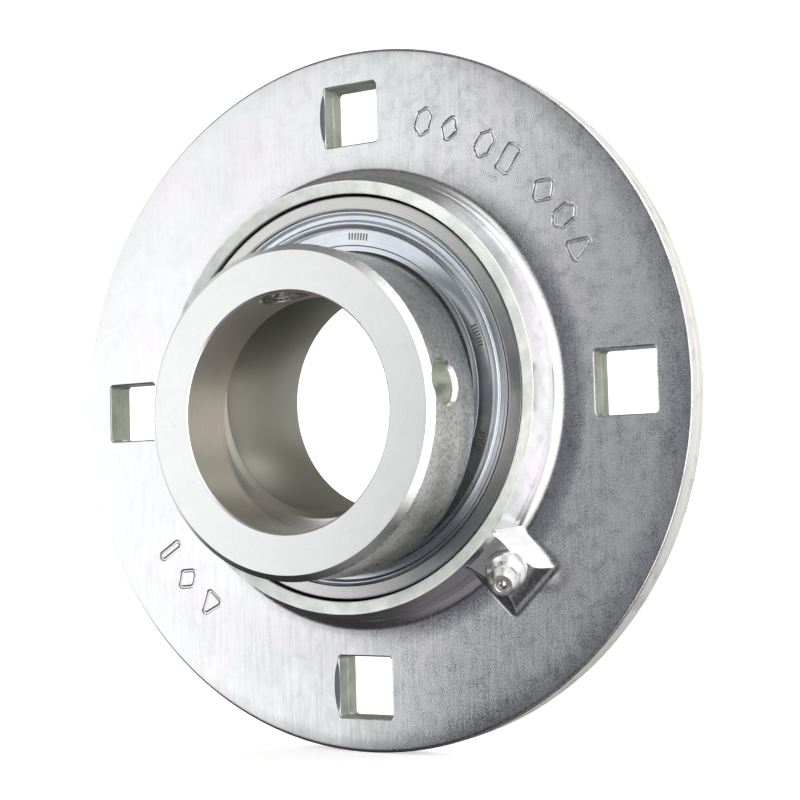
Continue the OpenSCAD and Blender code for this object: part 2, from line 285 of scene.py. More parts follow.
class Finish:
    """A procedural material, put together from nodes that read the piece's own coordinates."""

    def __init__(self, name, metallic, colour, roughness):
        self.mat = bpy.data.materials.new(name)
        self.mat.use_nodes = True
        self.tree = self.mat.node_tree
        self.bsdf = self.tree.nodes["Principled BSDF"]
        self.place = self.add("ShaderNodeTexCoord").outputs["Object"]
        self.set(self.bsdf, "Metallic", metallic)
        self.set(self.bsdf, "Base Color", colour)
        self.set(self.bsdf, "Roughness", roughness)
        self.height = None

    def add(self, kind, **props):
        node = self.tree.nodes.new(kind)
        for key, value in props.items():
            setattr(node, key, value)
        return node

    def set(self, node, key, value):
        socket = node.inputs[key]
        if isinstance(value, bpy.types.NodeSocket):
            self.tree.links.new(value, socket)
        elif isinstance(value, (tuple, list)) and socket.type == "RGBA":
            socket.default_value = (*value[:3], 1.0)
        else:
            socket.default_value = value

    def calc(self, operation, *values):
        node = self.add("ShaderNodeMath", operation=operation)
        for i, v in enumerate(values):
            self.set(node, i, v)
        return node.outputs[0]

    def axes(self):
        node = self.add("ShaderNodeSeparateXYZ")
        self.set(node, 0, self.place)
        return node.outputs

    def radius(self, centre_z=0.0):
        """Distance from a line along Y, in metres."""
        x, _, z = self.axes()
        z = self.calc("SUBTRACT", z, centre_z)
        return self.calc("SQRT", self.calc("ADD", self.calc("MULTIPLY", x, x), self.calc("MULTIPLY", z, z)))

    def noise(self, per_m, detail=2.0, stretch=(1, 1, 1), offset=0.0, distortion=0.0):
        scale = self.add("ShaderNodeVectorMath", operation="MULTIPLY_ADD")
        self.set(scale, 0, self.place)
        scale.inputs[1].default_value = [per_m * s for s in stretch]
        scale.inputs[2].default_value = (offset, offset * 0.7, offset * 1.3)
        node = self.add("ShaderNodeTexNoise")
        self.set(node, "Vector", scale.outputs[0])
        self.set(node, "Scale", 1.0)
        self.set(node, "Detail", detail)
        self.set(node, "Distortion", distortion)
        return node.outputs["Fac"]

    def rings(self, value, per_m, detail=3.0):
        """Uneven lines along a value in metres, for turning marks."""
        node = self.add("ShaderNodeTexNoise", noise_dimensions="1D")
        self.set(node, "W", self.calc("MULTIPLY", value, per_m))
        self.set(node, "Scale", 1.0)
        self.set(node, "Detail", detail)
        return node.outputs["Fac"]

    def span(self, value, lo, hi, to_lo=0.0, to_hi=1.0):
        node = self.add("ShaderNodeMapRange", interpolation_type="SMOOTHSTEP")
        inputs = {"Value": value, "From Min": lo, "From Max": hi, "To Min": to_lo, "To Max": to_hi}
        for key, v in inputs.items():
            self.set(node, key, v)
        return node.outputs["Result"]

    def mix(self, share, a, b):
        node = self.add("ShaderNodeMix", data_type="RGBA")
        self.set(node, 0, share)
        self.set(node, 6, a)
        self.set(node, 7, b)
        return node.outputs[2]

    def colour(self, value):
        self.set(self.bsdf, "Base Color", value)

    def rough(self, value):
        self.set(self.bsdf, "Roughness", value)

    def bump(self, height, distance, strength):
        """Adds a height map, in metres, on top of those added before."""
        node = self.add("ShaderNodeBump")
        self.set(node, "Height", height)
        self.set(node, "Distance", distance)
        self.set(node, "Strength", strength)
        if self.height is not None:
            self.set(node, "Normal", self.height)
        self.height = node.outputs["Normal"]
        self.set(self.bsdf, "Normal", self.height)


def zinc_sheet():
    """Zinc-plated pressed sheet: rolled grain, crystalline speckle, a slight tint, burnished where drawn;
    painted shade darkens the speckle towards the right side.
    """
    f = Finish("zinc_sheet", 1.0, (0.8, 0.8, 0.8), 0.22)
    grain = f.noise(1500, 3, (1.0, 1.0, 0.06))
    speck = f.noise(4300, 2, (1.0, 1.0, 0.7), offset=3.0)
    blotch = f.noise(300, 4, offset=9.0, distortion=0.6)
    patch = f.noise(60, 3, offset=1.0)
    tint = f.noise(45, 2, offset=5.0)
    off_split = f.calc("ABSOLUTE", f.calc("ADD", f.axes()[1], SPLIT_Z * MM))
    flat = f.span(off_split, (PLATE_T + 0.15) * MM, (PLATE_T + 1.2) * MM, 1.0, 0.12)
    # Painted shade: side weights the dark speckle and blotches from faint at the left to full at the right, and
    # dark carries that into the colour.
    side = f.calc("MULTIPLY", f.span(f.axes()[0], -0.045, 0.055, 0.18, 1.0), flat)
    base = f.mix(f.span(tint, 0.35, 0.65), (0.78, 0.80, 0.80), (0.81, 0.79, 0.82))
    dots = f.calc("MULTIPLY", f.span(speck, 0.40, 0.62), f.span(blotch, 0.35, 0.62, 0.45, 1.0))
    dark = f.calc("MULTIPLY", f.calc("ADD", dots, f.span(blotch, 0.5, 0.75, 0.0, 0.45)), side)
    f.colour(f.mix(f.calc("MULTIPLY", dark, 0.54), base, (0.26, 0.29, 0.31)))
    rough = f.calc("ADD", f.span(speck, 0.35, 0.65, 0.24, 0.16), f.span(grain, 0.3, 0.7, -0.02, 0.03))
    rough = f.calc("ADD", rough, f.calc("MULTIPLY", f.span(f.axes()[0], 0.03, 0.065, 0.0, 0.10), flat))
    f.rough(f.calc("ADD", rough, f.span(patch, 0.35, 0.65, -0.02, 0.02)))
    f.bump(patch, 0.0004, 0.12)
    f.bump(f.calc("MULTIPLY", grain, flat), 0.00002, 0.35)
    f.bump(f.calc("MULTIPLY", speck, flat), 0.00002, 0.35)
    return f.mat


def cut_edge():
    """The neck's trimmed edge: matt pale steel with a green passivate tint."""
    f = Finish("cut_edge", 0.6, (0.8, 0.83, 0.8), 0.40)
    tear = f.noise(1300, 3, (1.0, 0.15, 1.0))
    patch = f.noise(240, 3, offset=4.0)
    f.colour(f.mix(f.span(patch, 0.35, 0.68), (0.91, 0.94, 0.91), (0.74, 0.78, 0.73)))
    f.rough(f.span(tear, 0.3, 0.7, 0.36, 0.48))
    f.bump(tear, 0.00003, 0.35)
    return f.mat


def sheared_edge(name, light, dark):
    """Where steel was sheared, pierced or drilled: greenish passivate in patches, with fine tear lines."""
    f = Finish(name, 0.75, light, 0.4)
    tear = f.noise(1500, 3, (1.0, 0.12, 1.0))
    patch = f.noise(220, 3, offset=4.0)
    f.colour(f.mix(f.span(patch, 0.35, 0.68), light, dark))
    f.rough(f.span(tear, 0.3, 0.7, 0.30, 0.42))
    f.bump(tear, 0.00003, 0.4)
    f.bump(patch, 0.00006, 0.3)
    return f.mat


def blanked_rim():
    """The flange's outer edge: blanked and tumbled, matt pale grey with small nicks."""
    f = Finish("blanked_rim", 0.75, (0.8, 0.8, 0.77), 0.5)
    tear = f.noise(900, 3, (1.0, 0.3, 1.0))
    nicks = f.noise(260, 3, offset=8.0)
    f.colour(f.mix(f.span(nicks, 0.55, 0.75, 0.0, 0.6), (0.80, 0.80, 0.77), (0.45, 0.45, 0.42)))
    f.rough(f.span(tear, 0.3, 0.7, 0.42, 0.58))
    f.bump(tear, 0.00005, 0.4)
    f.bump(nicks, 0.0001, 0.3)
    return f.mat


def ground_steel():
    """Ground and turned bearing-ring steel."""
    f = Finish("ground_steel", 1.0, (0.62, 0.61, 0.58), 0.3)
    face = f.rings(f.radius(), 5200)
    wall = f.rings(f.axes()[1], 3600)
    cloud = f.noise(120, 3, offset=2.0)
    f.colour(f.mix(f.span(cloud, 0.35, 0.65), (0.60, 0.60, 0.595), (0.65, 0.645, 0.63)))
    f.rough(f.calc("ADD", f.span(face, 0.3, 0.7, 0.19, 0.27), f.span(cloud, 0.3, 0.7, -0.02, 0.02)))
    f.bump(face, 0.00001, 0.5)
    f.bump(wall, 0.00001, 0.5)
    return f.mat


def bore_steel(name, light, warm, dark):
    """A bore: honed steel with fine turning rings, from light to warm in clouds."""
    f = Finish(name, 0.88, light, 0.34)
    wall = f.rings(f.axes()[1], 4200)
    cloud = f.noise(70, 3, offset=6.0)
    f.colour(f.mix(f.span(wall, 0.45, 0.75, 0.0, 0.3), f.mix(f.span(cloud, 0.38, 0.62), light, warm), dark))
    f.rough(f.span(wall, 0.3, 0.7, 0.30, 0.38))
    f.bump(wall, 0.00002, 0.25)
    return f.mat


def seal_zinc():
    """Bluish zinc on the pressed cover washers, with rows of short etched ticks."""
    f = Finish("seal_zinc", 1.0, (0.66, 0.69, 0.74), 0.28)
    r = f.radius()
    face = f.rings(r, 2600)
    cloud = f.noise(160, 3, offset=8.0)
    base = f.mix(f.span(cloud, 0.35, 0.65), (0.66, 0.70, 0.77), (0.74, 0.77, 0.82))
    x, _, z = f.axes()
    around = f.calc("ARCTAN2", z, x)
    ticks = f.calc("GREATER_THAN", f.calc("SINE", f.calc("MULTIPLY", around, 300.0)), -0.2)
    in_band = f.calc("MULTIPLY", f.calc("GREATER_THAN", r, TICK_BAND[0]),
                     f.calc("LESS_THAN", r, TICK_BAND[1]))
    near = None
    for at in TICK_ROWS:
        hit = f.calc("LESS_THAN", f.calc("ABSOLUTE", f.calc("SUBTRACT", around, at)), TICK_ROW_HALF)
        near = hit if near is None else f.calc("MAXIMUM", near, hit)
    etched = f.calc("MULTIPLY", f.calc("MULTIPLY", ticks, in_band), near)
    f.colour(f.mix(f.calc("MULTIPLY", etched, 0.8), base, (0.20, 0.17, 0.11)))
    f.rough(f.calc("ADD", f.span(face, 0.3, 0.7, 0.20, 0.25), f.calc("MULTIPLY", etched, 0.25)))
    f.bump(cloud, 0.00001, 0.3)
    return f.mat


def collar_zinc():
    """Satin zinc plating on the turned collar: fine grain, a few pits, cloudy patches."""
    f = Finish("collar_zinc", 1.0, (0.84, 0.85, 0.85), 0.4)
    fine = f.noise(2600, 2)
    cloud = f.noise(150, 4, offset=7.0, distortion=0.5)
    pits = f.noise(700, 2, offset=11.0)
    face = f.rings(f.radius(COLLAR_Y * MM), 2200)
    base = f.mix(f.span(cloud, 0.35, 0.65), (0.80, 0.81, 0.80), (0.87, 0.875, 0.87))
    side = f.span(f.calc("MULTIPLY", f.axes()[1], -1.0), 0.0345, 0.0362, 0.7, 0.0)
    mottle = f.calc("MULTIPLY", f.span(f.noise(1300, 4, offset=2.0), 0.38, 0.68), side)
    base = f.mix(mottle, base, (0.42, 0.42, 0.37))
    f.colour(f.mix(f.span(pits, 0.70, 0.78, 0.0, 0.4), base, (0.55, 0.55, 0.52)))
    f.rough(f.calc("ADD", f.span(cloud, 0.3, 0.7, 0.27, 0.31), f.span(fine, 0.3, 0.7, -0.005, 0.005)))
    f.bump(fine, 0.00001, 0.12)
    f.bump(cloud, 0.0001, 0.1)
    f.bump(face, 0.00001, 0.2)
    return f.mat


def bright_steel(name, colour, roughness):
    """Turned or drawn bright steel with fine lines and light wear."""
    f = Finish(name, 1.0, colour, roughness)
    lines = f.noise(1400, 3)
    wear = f.noise(900, 3, offset=3.0)
    f.colour(f.mix(f.span(wear, 0.5, 0.75, 0.0, 0.5), colour, tuple(c * 0.55 for c in colour)))
    drawn = f.span(lines, 0.3, 0.7, roughness - 0.06, roughness + 0.08)
    f.rough(f.calc("ADD", drawn, f.span(wear, 0.4, 0.8, 0.0, 0.1)))
    f.bump(lines, 0.00001, 0.25)
    return f.mat


def seal_rubber():
    """Dark moulded nitrile rubber with a fine bloom."""
    f = Finish("nitrile", 0.0, (0.03, 0.03, 0.032), 0.6)
    bloom = f.noise(500, 4)
    grain = f.noise(3000, 2)
    f.colour(f.mix(f.span(bloom, 0.4, 0.7), (0.022, 0.022, 0.024), (0.05, 0.05, 0.052)))
    f.rough(f.span(grain, 0.3, 0.7, 0.5, 0.7))
    f.bump(grain, 0.00004, 0.4)
    return f.mat


def cage_nylon():
    """Glass-filled nylon: warm ivory with short fibre streaks."""
    f = Finish("nylon", 0.0, (0.72, 0.66, 0.50), 0.5)
    fibre = f.noise(1800, 3, (1.0, 0.2, 1.0))
    cloud = f.noise(120, 2, offset=2.0)
    base = f.mix(f.span(cloud, 0.35, 0.65), (0.70, 0.64, 0.48), (0.76, 0.71, 0.56))
    f.colour(f.mix(f.span(fibre, 0.55, 0.75, 0.0, 0.4), base, (0.55, 0.49, 0.34)))
    f.rough(f.span(fibre, 0.3, 0.7, 0.42, 0.58))
    f.bump(fibre, 0.00003, 0.4)
    return f.mat


# ------------------------------------------------------------------ flange plates

def union_round(a, b, r):
    """Two distances joined with a fillet of radius r."""
    return np.maximum(r, np.minimum(a, b)) - np.hypot(np.maximum(r - a, 0), np.maximum(r - b, 0))


def meet_round(a, b, r):
    """Where two distances are both inside, with the edge rounded to radius r."""
    return np.minimum(-r, np.maximum(a, b)) + np.hypot(np.maximum(r + a, 0), np.maximum(r + b, 0))


CUT_R = NECK_R * math.cos(NECK_ANGLE)
CUT_Z = NECK_R * math.sin(NECK_ANGLE)


def ragged(a):
    """Small torn waves along the neck's cut edge, in millimetres."""
    return 0.04 * np.sin(23 * a + 1.0) + 0.04 * np.sin(61 * a + 2.0) + 0.03 * np.sin(97 * a)


def plate_outside(x, y, z, nose):
    """Distance outside the pressed plate's outer side. Heights count from the split plane."""
    r, a = np.hypot(x, y), np.arctan2(y, x)
    ball = np.hypot(r, z) - NECK_R
    cut = (r - CUT_R) * -math.sin(NECK_ANGLE) + (z - CUT_Z) * math.cos(NECK_ANGLE)
    torn = ragged(a) * np.clip((r - CUT_R) / 0.5 + 1.0, 0, 1)
    neck = meet_round(ball, cut + torn, 0.3)
    swell = SWELL_D * np.clip((SWELL_R - r) / SWELL_W, 0, 1.3) ** 2
    rolled_off = RIM_ROLL_D * np.clip((r - FLANGE_R) / RIM_ROLL_W + 1.0, 0, 1) ** 2
    body = union_round(z - PLATE_T - swell + rolled_off, neck, NECK_FILLET)
    if nose:
        u = x * math.cos(NOSE_AT) + y * math.sin(NOSE_AT)
        v = np.abs(y * math.cos(NOSE_AT) - x * math.sin(NOSE_AT))
        top_z = NIPPLE_Z - SPLIT_Z - (np.maximum(u, NOSE_START) - NIPPLE_R) * math.tan(NOSE_SLOPE)
        top = (z - top_z) * math.cos(NOSE_SLOPE)
        drop = np.clip((top_z - z) / np.maximum(top_z - PLATE_T, 0.5), -0.2, 1.2)
        half = NOSE_TOP_HALF - 0.8 * np.exp(-((u - NIPPLE_R) / 3.2) ** 2)
        side = (v - half - (NOSE_FOOT_HALF - half) * drop) * 0.95
        end_z = NIPPLE_Z - SPLIT_Z - (NOSE_OUT_R - NIPPLE_R) * math.tan(NOSE_SLOPE)
        end_a = math.atan2(end_z - PLATE_T, NOSE_FOOT_R - NOSE_OUT_R)
        out = (u - NOSE_OUT_R) * math.sin(end_a) + (z - end_z) * math.cos(end_a)
        lump = meet_round(meet_round(top, side, 0.4), out, 0.5)
        lump = meet_round(np.maximum(lump, NOSE_START - u), cut + 0.75, 0.25)
        body = union_round(body, lump, NOSE_FILLET)
    return meet_round(body, r - FLANGE_R, RIM_ROUND)


def plate_surface(angles, aims, nose):
    """Points of the plate's outer side, one row for each aim, found along rays from the seat's mid line."""
    tilt = np.array([math.atan2(z, r - SEAT_R) for r, z in aims])
    t_lo = np.zeros((len(tilt), len(angles)))
    t_hi = np.full_like(t_lo, 45.0)
    ct, st = np.cos(tilt)[:, None], np.sin(tilt)[:, None]
    ca, sa = np.cos(angles)[None], np.sin(angles)[None]
    for _ in range(34):
        t = (t_lo + t_hi) / 2
        r, z = SEAT_R + t * ct, t * st
        inside = plate_outside(r * ca, r * sa, z, nose) < 0
        t_lo, t_hi = np.where(inside, t, t_lo), np.where(inside, t_hi, t)
    r, z = SEAT_R + t_hi * ct, t_hi * st
    return r * ca, r * sa, z


def pressed_plate(name, nose):
    """A pressed flange plate with its outer side along +Z from the split plane."""
    step = math.radians(1.0)
    angles = np.arange(0, 2 * math.pi - 1e-6, step) - math.pi
    if nose:
        fine = NOSE_AT + np.radians(np.arange(-13.0, 13.1, 0.25))
        coarse = angles[np.abs(angles - NOSE_AT) > math.radians(13.4)]
        angles = np.sort(np.concatenate([fine, coarse]))
    aims = [(FLANGE_R, z) for z in (0.16, 0.21, 1.2, 2.2, 2.62)]
    edge_z = PLATE_T - RIM_ROLL_D
    aims += [(FLANGE_R - RIM_ROUND * (1 - math.cos(t)), edge_z - RIM_ROUND * (1 - math.sin(t)))
             for t in np.radians([2, 15, 30, 45, 60, 75, 88])]
    aims += [(r, edge_z + 0.05) for r in (76.9, 76.5, 76.0)]
    aims += [(r, PLATE_T) for r in (76.2, 75.5, 74.8, 74, 73, 72, 70, 67, 64.5, 63)]
    flat = np.arange(62, 51.6, -0.33) if nose else np.arange(60, 51.6, -2.2)
    aims += [(r, PLATE_T) for r in flat]
    hold_r, hold_z = NECK_R + NECK_FILLET, PLATE_T + NECK_FILLET
    hold_x, hold_a = math.sqrt(hold_r ** 2 - hold_z ** 2), math.asin(hold_z / hold_r)
    bend = [(hold_x + 0.25, PLATE_T)]
    bend += [(hold_x + NECK_FILLET * math.cos(t), hold_z + NECK_FILLET * math.sin(t))
             for t in np.linspace(1.5 * math.pi, math.pi + hold_a, 15)]
    wall_z = np.arange(NECK_R * math.sin(hold_a) + 0.25, CUT_Z - 0.4, 0.25 if nose else 0.6)
    bend += [(math.sqrt(NECK_R ** 2 - z * z), z) for z in wall_z]
    bend += [(CUT_R + dr, CUT_Z + dz) for dr, dz in (
        (0.10, -0.4), (0.08, -0.3), (0.06, -0.22), (0.04, -0.15), (0.02, -0.08),
        (-0.02, -0.02), (-0.08, -0.02), (-0.16, -0.04), (-0.26, -0.07), (-0.4, -0.1))]
    aims += bend
    cut_face = [(r, CUT_Z - (CUT_R - r) * math.tan(NECK_ANGLE)) for r in (46.6, 46.0, 45.4, 44.9, 44.6, 44.36)]
    aims += cut_face
    x, y, z = plate_surface(angles, aims, nose)
    outer = np.stack([x, y, z], -1)
    # Inner side, from the neck's end round the ball seat to the rim at the split plane
    bend_r = NECK_FILLET + PLATE_T
    bend_x = math.sqrt((SEAT_R + bend_r) ** 2 - bend_r ** 2)
    bend_a = math.asin(bend_r / (SEAT_R + bend_r))
    end_z = CUT_Z - (CUT_R - NECK_END_R) * math.tan(NECK_ANGLE)
    inner = [(NECK_END_R, end_z - 0.06)]
    seat_a = math.acos(NECK_END_R / SEAT_R)
    inner += [(SEAT_R * math.cos(t), SEAT_R * math.sin(t)) for t in np.linspace(seat_a, bend_a, 14)]
    inner += [(bend_x + bend_r * math.cos(t), bend_r + bend_r * math.sin(t))
              for t in np.linspace(math.pi + bend_a, 1.5 * math.pi, 9)[1:]]
    inner += [(r, 0.0) for r in (55.0, 70.0, FLANGE_R - 0.2)]
    inner += [(FLANGE_R - 0.16, 0.0)]
    r, h = (np.array(v)[:, None] for v in zip(*inner))
    under = np.stack([r * np.cos(angles), r * np.sin(angles), h + 0 * angles], -1)
    pts = np.concatenate([outer, under])
    rows, cols = pts.shape[:2]
    cut_from = len(aims) - len(cut_face) - 5
    mats = np.full((rows, cols), ZINC, np.int32)
    mats[cut_from:len(aims)] = NECK_CUT
    mats[:6] = RIM
    mats[-1] = RIM
    return piece(name, pts.reshape(-1, 3), grid_faces(rows, cols, True, True), face_mats=mats.ravel())


def square_ring(half, corner, z, steps=6):
    pts = []
    for quarter in range(4):
        for k in range(steps + 1):
            t = math.pi / 2 * (quarter + k / steps)
            cx = (half - corner) * (1 if quarter in (0, 3) else -1)
            cy = (half - corner) * (1 if quarter in (0, 1) else -1)
            pts.append((cx + corner * math.cos(t), cy + corner * math.sin(t), z))
    return np.array(pts)


def hole_cutter(at, low, high, roll_w, roll_d, lip):
    """A square punch that flares at its upper end, to leave a rolled edge, and steps out at its lower end."""
    levels = [(lip, low - 1.0), (lip, low - 0.004), (0.0, low + lip)]
    levels += [(roll_w * (1 - math.sin(t)), high - roll_d * (1 - math.cos(t)))
               for t in np.radians([90, 72, 54, 38, 24, 12])]
    levels += [(roll_w * 0.9, high + 0.02), (roll_w * 0.9, high + 1.0)]
    rings = [square_ring(HOLE_W / 2 + grow, HOLE_CORNER_R + grow, z) for grow, z in levels]
    obj = lofted("punch", rings, turn("Z", at) @ shift(HOLE_CIRCLE_R, 0, 0))
    mats = np.full(len(obj.data.polygons), ZINC, np.int32)
    mats[:3 * len(rings[0])] = PIERCED
    obj.data.polygons.foreach_set("material_index", mats)
    return obj


def dish(at, side):
    """A long shallow hollow beside a bolt hole, where the punch dragged the sheet in at one edge."""
    half_w, half_l, half_h, above = 2.8, 9.0, 1.0, 0.7
    t = np.linspace(0, math.pi, 25)
    ball = lathe("dish", np.column_stack([np.sin(t), -np.cos(t)]), 64, np.diag([half_w, half_l, half_h, 1.0]))
    centre = turn("Z", at) @ np.array([HOLE_CIRCLE_R, 0, 0, 1.0])
    edge_x = centre[0] + side * (HOLE_W / 2 - 0.7)
    ball.data.transform(Matrix.Translation(world([edge_x, centre[1], PLATE_T + above])))
    return ball


def groove(name, loop, radius, z, matrix, sides=8):
    """A thin closed tube along a flat loop of points, used to press an outline into the sheet."""
    p = np.array(loop, float)
    to_next = np.roll(p, -1, 0) - p
    to_next /= np.linalg.norm(to_next, axis=1)[:, None]
    normal = np.stack([to_next[:, 1], -to_next[:, 0]], 1)
    mitre = normal + np.roll(normal, 1, 0)
    mitre /= (mitre * normal).sum(1)[:, None]
    rings = []
    for k in range(sides):
        t = 2 * math.pi * k / sides
        height = np.full(len(p), z + radius * math.sin(t))
        rings.append(np.column_stack([p + mitre * radius * math.cos(t), height]))
    return piece(name, np.concatenate(rings), grid_faces(sides, len(p), True, True), matrix)


def outline(shape, w, h):
    """Plain stamped outlines with rounded corners."""
    a, b = w / 2, h / 2
    corners = {
        "bar": [(-a, -b), (a, -b), (a, b), (-a, b)],
        "lozenge": [(0, -b), (a, 0), (0, b), (-a, 0)],
        "wedge": [(-a, -b), (a, -b), (0, b)],
        "hex": [(-a, -b * 0.5), (0, -b), (a, -b * 0.5), (a, b * 0.5), (0, b), (-a, b * 0.5)],
    }[shape]
    return rounded([(x, y, MARK_CORNER) for x, y in corners], 4, 0.1)


def stamp(obj, marks, top_z):
    """Presses each outline, given as (angle, radius, shape, width, height), into a surface at top_z."""
    for i, (angle, radius, shape, w, h) in enumerate(marks):
        place = turn("Z", math.radians(angle)) @ shift(radius, 0, 0) @ turn("Z", -math.pi / 2)
        combine(obj, groove(f"stamp_{i}", outline(shape, w, h), MARK_TOOL_R, top_z + MARK_TOOL_LIFT, place))


hole_wall = sheared_edge("sheared_edge", (0.44, 0.48, 0.42), (0.33, 0.35, 0.30))
plate_mats = (zinc_sheet(), cut_edge(), blanked_rim(), hole_wall)

front_plate = pressed_plate("front_plate_pressing", True)
for quarter in range(4):
    combine(front_plate, hole_cutter(quarter * math.pi / 2, 0.0, PLATE_T, 0.4, 0.3, 0.15))
combine(front_plate, dish(math.pi / 2, -1), dish(-math.pi / 2, -1))
stamp(front_plate, [
    (72.5, 62.2, "hex", 3.6, 6.4), (66.2, 62.2, "lozenge", 4.0, 6.2), (57.6, 62.2, "hex", 3.6, 6.4),
    (51.4, 62.2, "bar", 3.2, 6.2), (41.2, 62.2, "lozenge", 5.2, 6.6), (34.4, 62.2, "hex", 3.8, 6.4),
    (27.4, 62.2, "wedge", 5.0, 6.4),
    (212.0, 62.5, "bar", 1.6, 6.4), (219.5, 62.5, "lozenge", 4.6, 6.4), (227.5, 62.5, "wedge", 5.0, 6.4),
], PLATE_T)
front_plate.data.transform(Matrix.Translation((0, -SPLIT_Z * MM, 0)))

rear_plate = pressed_plate("rear_plate_pressing", False)
for quarter in range(4):
    combine(rear_plate, hole_cutter(quarter * math.pi / 2, 0.0, PLATE_T, 0.3, 0.25, 0.15))
rear_plate.data.transform(Matrix.Translation((0, -SPLIT_Z * MM, 0)) @ Matrix.Scale(-1, 4, (0, 1, 0)))
rear_plate.data.flip_normals()

for plate, node in ((front_plate, "front_flange_plate"), (rear_plate, "rear_flange_plate")):
    paint(plate, *plate_mats)
    shade(plate, 50)
    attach(plate, "housing")
    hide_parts(node)


# ------------------------------------------------------------------ rings and seals

AT_SPLIT = shift(0, 0, SPLIT_Z)
ring_out = math.sqrt(RING_R ** 2 - RING_HALF ** 2)
edge_a = math.asin(RING_EDGE_Z / RING_R)
arc = [(RING_R * math.cos(t), RING_R * math.sin(t)) for t in np.linspace(-edge_a, edge_a, 25)]
front_side = [
    (LAND_R, LAND_Z), (LAND_R, 7.5), (SEAL_SEAT_R, 7.5), (SEAL_SEAT_R, 10.68), (SEAL_SEAT_R + 0.06, 10.82),
    (SEAL_SEAT_R + 0.28, 10.98), (SEAL_SEAT_R + 0.34, 11.0), (SEAL_SEAT_R + 0.4, 10.996),
    (ring_out - 0.2, 10.86), (ring_out - 0.15, 10.857), (ring_out - 0.02, 10.8),
]
ring_outline = front_side + arc[::-1] + [(r, -z) for r, z in reversed(front_side)]
ring_outline += [(OUTER_TRACK_AT + TRACK_R * math.cos(t), TRACK_R * math.sin(t))
                 for t in np.linspace(-0.9, 0.9, 19)]
ring_mat = ground_steel()
# Painted shade: the inner ring's bore gets a steel about half as bright as the ring's own, standing for the
# shade deep inside it.
ring_bore_painted_shade = bore_steel("ring_bore_painted_shade", (0.30, 0.30, 0.265), (0.32, 0.31, 0.27), (0.22, 0.22, 0.195))
outer_ring = turned("outer_ring_ground", np.array(ring_outline), 240, AT_SPLIT)
paint(outer_ring, ring_mat)
shade(outer_ring, 30)
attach(outer_ring, "outer_race")
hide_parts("outer_ring")

cover_outline = rounded([
    (31.9, 8.85, 0.1), (40.72, 8.85, 0.1), (40.72, 9.95, 0), (40.48, 10.05, 0), (40.48, 10.8, 0.15),
    (40.0, 10.8, 0.25), (39.7, 10.1, 0.3),
    (38.6, 10.1, 0.3), (38.2, 10.6, 0.25), (37.7, 10.6, 0.5), (36.7, 9.78, 1.2), (33.25, 9.72, 0.12),
    (33.05, 9.45, 0.12), (31.9, 9.45, 0.12),
], 5)
washer_mat = seal_zinc()
for side, flip in (("front", 1), ("rear", -1)):
    washer = turned(f"{side}_cover_pressing", cover_outline * [1, flip], 240, AT_SPLIT)
    paint(washer, washer_mat)
    shade(washer, 30)
    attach(washer, "outer_race")
    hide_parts(f"{side}_cover_washer")

# Inner ring: the plain barrel, then the eccentric cam that the collar slips over
barrel = turned("inner_ring_turned", rounded([
    (BORE_R - 1, INNER_BACK, 0), (SHOULDER_R, INNER_BACK, 0.8),
    (SHOULDER_R, CAM_BACK, 0.3), (BORE_R - 1, CAM_BACK, 0),
], 5), 256)
cam = turned("cam", rounded([
    (BORE_R - 4.5, CAM_BACK - 2, 0), (CAM_R, CAM_BACK - 2, 0),
    (CAM_R, INNER_FRONT, 0.6), (BORE_R - 4.5, INNER_FRONT, 0),
], 4), 256, shift(0, CAM_Y, 0))
track = [(INNER_TRACK_AT, 0)]
track += [(INNER_TRACK_AT - TRACK_R * math.cos(t), TRACK_R * math.sin(t)) for t in np.linspace(-1.25, 1.25, 21)]
race = turned("race", np.array(track), 256, AT_SPLIT)
# A chamfer at each end of the bore, as (outward, inward) steps from its corner
chamfer = [(BORE_CHAMFER + 2, -2), (BORE_CHAMFER, 0), (BORE_BREAK, BORE_CHAMFER - BORE_BREAK),
           (0, BORE_CHAMFER + 0.1)]
through = lathe("through", [
    (0, INNER_BACK - 2), *((BORE_R + out, INNER_BACK + into) for out, into in chamfer),
    *((BORE_R + out, INNER_FRONT - into) for out, into in reversed(chamfer)), (0, INNER_FRONT + 2),
], 256)
through.data.polygons.foreach_set("material_index", np.ones(len(through.data.polygons), np.int32))
inner_ring = combine(barrel, cam, how="UNION")
combine(inner_ring, race, through)
paint(inner_ring, ring_mat, ring_bore_painted_shade)
shade(inner_ring, 30)
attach(inner_ring, "inner_race")
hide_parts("inner_ring")


# ------------------------------------------------------------------ locking collar

ON_COLLAR = shift(0, COLLAR_Y, 0) @ turn("Z", COLLAR_TURN)


def collar_hole(quarter):
    """Frame of a radial hole in the collar, with Z pointing outward from the collar's axis."""
    return ON_COLLAR @ turn("Z", quarter) @ shift(0, 0, HOLE_Z) @ turn("Y", math.pi / 2)


collar = turned("collar_turned", rounded([
    (BORE_R, COLLAR_BACK, 0), (COLLAR_R, COLLAR_BACK, 1.0),
    (COLLAR_R, COLLAR_FRONT - COLLAR_CHAMFER, 0.1), (COLLAR_R - COLLAR_CHAMFER, COLLAR_FRONT, 0.1),
    (BORE_R + COLLAR_BREAK, COLLAR_FRONT, 0.08), (BORE_R, COLLAR_FRONT - COLLAR_BREAK, 0.08),
], 4), 256, shift(0, COLLAR_Y, 0))
recess = lathe("recess", [
    (0, COLLAR_BACK - 2), (RECESS_R, COLLAR_BACK - 2), (RECESS_R, RECESS_TOP), (0, RECESS_TOP),
], 256, shift(0, CAM_Y, 0))
thread = [(0, 15.0), (SCREW_R, 15.0)]
for i in range(TAP_TURNS):
    s = 20.4 + i * TAP_PITCH
    thread += [(SCREW_R, s), (SCREW_R + TAP_DEPTH, s + 0.3),
               (SCREW_R + TAP_DEPTH, s + 0.42), (SCREW_R, s + 0.72)]
